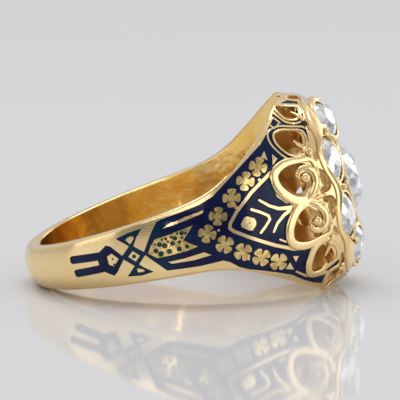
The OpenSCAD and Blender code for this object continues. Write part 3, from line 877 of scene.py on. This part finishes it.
def remap(node, value, low, high, to_low, to_high):
    """The value moved from one range to another, and held inside it."""
    return node("MapRange", {0: value, 1: low, 2: high, 3: to_low, 4: to_high}).outputs[0]


def mix_colors(node, share, a, b):
    """Color a where the share is 0, and b where it is 1."""
    return node("Mix", {0: share, 6: a, 7: b}, data_type="RGBA").outputs[2]


def bump(node, heights):
    """Bump from (height, depth in millimetres) pairs, each laid over the one before."""
    below = {}
    for height, depth in heights:
        layer = node("Bump", {"Height": height, "Strength": 1.0, "Distance": depth * MM, **below})
        below = {"Normal": layer.outputs[0]}
    return below["Normal"]


# Painted shade: the dark brown that the gold is mixed towards in its recesses and corners
PAINTED_SHADE = (0.38, 0.22, 0.07, 1)


def gold_material():
    """Polished gold: dented and yellower in the hole, mottled where engraved, with painted shade in its
    recesses and corners.
    """
    material, shader, at, node, fill = new_material("polished_gold")
    broad = noise(node, at, 0.35)
    fine = noise(node, at, 5.0, 6.0)
    scratches = noise(node, at, 2.0, 8.0, (1, 1, 14))
    inner, bore, engraved, recess = (painted(node, name) for name in ("inner", "bore", "engraved", "recess"))
    patches = remap(node, broad, 0.35, 0.65, 0.0, 1.0)
    skin_color = mix_colors(node, patches, (0.96, 0.73, 0.38, 1), (0.94, 0.69, 0.33, 1))
    bore_color = mix_colors(node, patches, (0.97, 0.72, 0.3, 1), (0.9, 0.58, 0.15, 1))
    specks = remap(node, noise(node, at, 3.5, 5.0), 0.42, 0.6, 0.0, 1.0)
    engraved_color = mix_colors(node, specks, (0.6, 0.42, 0.15, 1), (0.92, 0.7, 0.31, 1))
    skin_color = mix_colors(node, engraved, skin_color, engraved_color)
    color = mix_colors(node, inner, mix_colors(node, bore, skin_color, bore_color), (0.82, 0.55, 0.24, 1))
    # Painted shade: the hollows between the scrolls and the rim, marked by paint_gold, turn dark brown
    color = mix_colors(node, remap(node, recess, 0, 1, 0, 0.65), color, PAINTED_SHADE)
    # Painted shade: the gold turns dark brown where ambient occlusion finds close corners
    corners = node("AmbientOcclusion", {"Distance": 0.45 * MM}, samples=6, only_local=True).outputs["AO"]
    color = mix_colors(node, remap(node, corners, 0.3, 0.9, 0.9, 0.0), color, PAINTED_SHADE)
    worn = remap(node, scratches, 0.3, 0.75, 0.1, 0.24)
    rough = node("Math", {0: worn, 1: remap(node, inner, 0, 1, 0, 0.2)}, operation="ADD").outputs[0]
    dents = node("Math", {0: noise(node, at, 0.8, 2.0), 1: bore}, operation="MULTIPLY").outputs[0]
    uneven = noise(node, at, 0.9, 1.0)
    heights = [(broad, 0.03), (uneven, 0.02), (dents, 0.06), (fine, 0.0025), (scratches, 0.003)]
    fill(shader, {"Base Color": color, "Roughness": rough, "Normal": bump(node, heights), "Metallic": 1})
    return material


def enamel_material():
    """Glossy cobalt enamel, which turns teal and green where it is painted so."""
    material, shader, at, node, fill = new_material("cobalt_enamel")
    teal, green = painted(node, "teal"), painted(node, "green")
    clouds = remap(node, noise(node, at, 0.9), 0.35, 0.65, 0, 1)
    cobalt = mix_colors(node, clouds, (0.003, 0.003, 0.04, 1), (0.003, 0.01, 0.06, 1))
    drift = remap(node, noise(node, at, 0.5), 0.5, 0.7, 0, 0.6)
    hue = node("Math", {0: teal, 1: drift}, operation="MAXIMUM").outputs[0]
    color = mix_colors(node, hue, cobalt, (0.003, 0.03, 0.065, 1))
    color = mix_colors(node, green, color, (0.01, 0.06, 0.035, 1))
    rough = remap(node, noise(node, at, 3.0), 0.3, 0.7, 0.04, 0.14)
    normal = bump(node, [(noise(node, at, 1.2), 0.008), (noise(node, at, 6.0), 0.001)])
    fill(shader, {"Base Color": color, "Roughness": rough, "Normal": normal, "Specular IOR Level": 0.2})
    return material


def diamond_material():
    """Clear diamond, mixed with small mirror facets whose different brightness is painted shade and
    highlight, and painted glints that glow.
    """
    material, shader, at, node, fill = new_material("old_cut_diamond")
    rough = remap(node, noise(node, at, 2.0), 0.4, 0.8, 0.0, 0.03)
    fill(shader, {"Base Color": (1, 1, 1, 1), "IOR": 2.42, "Transmission Weight": 1, "Roughness": rough})
    # Painted shade and highlight: the mirror facets' cells are made darker or lighter cell by cell
    sparkle = node("TexVoronoi", {"Vector": at, "Scale": 2600.0}).outputs["Color"]
    shade = node("SeparateColor", {0: sparkle})
    light = remap(node, shade.outputs[0], 0.0, 0.9, 0, 1)
    painted_facet_shading = mix_colors(node, light, (0.48, 0.5, 0.51, 1), (0.93, 0.94, 0.95, 1))
    # Painted glints: a few cells glow
    glint = remap(node, shade.outputs[1], 0.7, 0.75, 0.0, 0.2)
    sheen = node("BsdfPrincipled", {"Base Color": painted_facet_shading, "Metallic": 1.0, "Roughness": 0.04,
                                    "Emission Color": (0.95, 0.97, 1.0, 1), "Emission Strength": glint})
    both = node("MixShader", {0: 0.72, 1: shader.outputs[0], 2: sheen.outputs[0]})
    fill(material.node_tree.nodes["Material Output"], {"Surface": both.outputs[0]})
    return material


def floor_material():
    """A pale glossy floor with a weak mirror image."""
    material, shader, at, node, fill = new_material("pale_floor")
    color = mix_colors(node, noise(node, at, 0.02), (0.66, 0.66, 0.67, 1), (0.69, 0.69, 0.7, 1))
    fill(shader, {"Base Color": color, "Roughness": 0.05, "Specular IOR Level": 0.19})
    matt = node("BsdfDiffuse", {"Color": color})
    both = node("MixShader", {0: 0.28, 1: shader.outputs[0], 2: matt.outputs[0]})
    fill(material.node_tree.nodes["Material Output"], {"Surface": both.outputs[0]})
    return material


def paint(mesh, name, values):
    """Stores one value from 0 to 1 for each point of the mesh."""
    attribute = mesh.attributes.new(name, "FLOAT", "POINT")
    attribute.data.foreach_set("value", np.clip(values, 0, 1).astype(np.float32))


def places(mesh):
    """The mesh's points as rows of [x, y, z]."""
    flat = np.zeros(len(mesh.vertices) * 3, np.float32)
    mesh.vertices.foreach_get("co", flat)
    return flat.reshape(-1, 3).astype(float)


def paint_gold(mesh):
    """Marks unpolished gold in the head, the worn hole, the gallery's recesses that get painted shade, and
    engraved islands.
    """
    x, y, z = places(mesh).T
    # How far each point lies inside the ring's outer surface, under the stone plate and outside the hole
    deep = outline_y(x) * crowned(z / crown_half(x)) - np.abs(y)
    under = plate_x(y, z) - x
    outside_hole = np.hypot(x, y) - BORE_R
    inner = np.minimum(np.minimum(deep - 0.06, under - 0.35), outside_hole) * 5
    paint(mesh, "inner", inner * (x > 6.5))
    paint(mesh, "bore", 1 - outside_hole / 0.3)
    # Where painted shade darkens the hollows between the scrolls and the rim
    paint(mesh, "recess", np.minimum(deep - 0.08, under - 0.3) * 6 * (deep < 0.6) * (x > 8.3))
    # The engraved islands are taken slightly too large, so that they are marked up to their edges
    panel = np.array(GOLD_ISLANDS["dotted panel"])
    panel = panel.mean(0) + 1.08 * (panel - panel.mean(0))
    islands = [np.hypot(x - cx, z - cz) < 1.1 * CLOVER_R for cx, cz, _ in CLOVERS]
    islands.append(inside(panel, np.stack([x, z], -1)))
    paint(mesh, "engraved", (deep < 0.05) & np.any(islands, axis=0))


def paint_enamel(mesh):
    """Marks the teal lattice, sides of the panel and edges of the largest frames, and the green pits."""
    x, _, z = places(mesh).T
    lattice = np.exp(-((x + 2.35) / 0.9) ** 4)
    by_panel = 0.75 * np.exp(-((x + 0.9) / 0.8) ** 2)
    by_frames = 0.8 * np.exp(-((np.hypot(x - 7.95, np.abs(z) - 1.4) - 1.5) / 0.3) ** 2)
    green = np.zeros(len(x))
    for px, pz, radius in PITS:
        green = np.maximum(green, np.hypot(x - px, z - pz) < radius * 1.2)
    paint(mesh, "teal", np.maximum(np.maximum(lattice, by_panel), by_frames))
    paint(mesh, "green", green)


# Stage

# The camera that was fitted to the photo: its place seen from the middle of the hole, how far it looks down
# and to the left in degrees, and its lens in millimetres
CAMERA_FROM_HOLE = Vector((0.004216, -0.27997, 0.037859))
CAMERA_DOWN = 7.404
CAMERA_LEFT = 0.56
CAMERA_LENS = 416.9
# The point that all lamps are turned to
LIT_POINT = Vector((0, 0, 0.005))


def add_camera():
    camera = bpy.data.cameras.new("camera")
    camera.sensor_width = 36
    camera.lens = CAMERA_LENS
    holder = bpy.data.objects.new("camera", camera)
    holder.location = Vector(hole["pos_m"]) + CAMERA_FROM_HOLE
    holder.rotation_euler = (math.radians(90 - CAMERA_DOWN), 0, math.radians(CAMERA_LEFT))
    bpy.context.scene.collection.objects.link(holder)
    bpy.context.scene.camera = holder


def add_area(name, location, size, power):
    """A lamp of this size in metres and this power in watts."""
    light = bpy.data.lights.new(name, "AREA")
    light.shape = "RECTANGLE"
    light.size, light.size_y = size
    light.energy = power
    holder = bpy.data.objects.new(name, light)
    holder.location = location
    direction = LIT_POINT - Vector(location)
    holder.rotation_euler = direction.to_track_quat("-Z", "Y").to_euler()
    bpy.context.scene.collection.objects.link(holder)


def add_floor():
    half = 3.0
    corners = [(-half, -half, 0), (half, -half, 0), (half, half, 0), (-half, half, 0)]
    mesh = bpy.data.meshes.new("floor")
    mesh.from_pydata(corners, [], [(0, 1, 2, 3)])
    mesh.materials.append(floor_material())
    floor = bpy.data.objects.new("floor", mesh)
    bpy.context.scene.collection.objects.link(floor)


def add_world():
    """A pale studio, brighter above, and dimmer behind the camera than beyond the ring."""
    world = bpy.data.worlds.new("studio")
    bpy.context.scene.world = world
    world.use_nodes = True
    tree = world.node_tree
    direction = tree.nodes.new("ShaderNodeSeparateXYZ")
    tree.links.new(tree.nodes.new("ShaderNodeTexCoord").outputs["Generated"], direction.inputs[0])
    up = tree.nodes.new("ShaderNodeValToRGB")
    up.color_ramp.elements[0].color = (0.5, 0.5, 0.52, 1)
    up.color_ramp.elements[1].color = (0.8, 0.8, 0.8, 1)
    tree.links.new(direction.outputs["Z"], up.inputs[0])
    front = tree.nodes.new("ShaderNodeMapRange")
    tree.links.new(direction.outputs["Y"], front.inputs[0])
    for name, value in {"From Min": -1, "From Max": 0.3, "To Min": 0.44, "To Max": 1.08}.items():
        front.inputs[name].default_value = value
    tree.links.new(up.outputs[0], tree.nodes["Background"].inputs[0])
    tree.links.new(front.outputs[0], tree.nodes["Background"].inputs[1])


def add_lamps():
    add_area("softbox_above", (-0.02, 0.16, 0.45), (0.35, 0.15), 0.85)
    add_area("softbox_left", (-0.4, -0.16, 0.1), (0.3, 0.18), 0.13)
    add_area("softbox_front", (-0.05, -0.55, 0.3), (0.6, 0.2), 0.55)
    add_area("softbox_right", (0.4, -0.12, 0.12), (0.25, 0.25), 0.25)
    add_area("softbox_behind", (0.35, 0.45, 0.15), (0.3, 0.3), 0.26)
    add_area("softbox_by_camera", (-0.035, -0.5, 0.075), (0.05, 0.03), 0.04)


bpy.context.scene.view_settings.view_transform = "Standard"
add_camera()
add_floor()
add_world()
add_lamps()

ring_gold = gold_mesh()
paint_gold(ring_gold)
add_piece("ring_gold", ring_gold, gold_material(), smooth_angle=32, replaces="gold_body")
near_enamel = solid(sheet(0.04, ENAMEL_DEPTH), [("INTERSECT", pattern_prism())])
paint_enamel(near_enamel)
enamel = enamel_material()
for name, mesh in zip(("enamel_near", "enamel_far"), both_sides(near_enamel)):
    add_piece(name + "_inlay", mesh, enamel, smooth_angle=40, replaces=name)
diamond = diamond_material()
for name, node in frame["nodes"].items():
    if "stone" in name:
        node.data.materials.clear()
        node.data.materials.append(diamond)
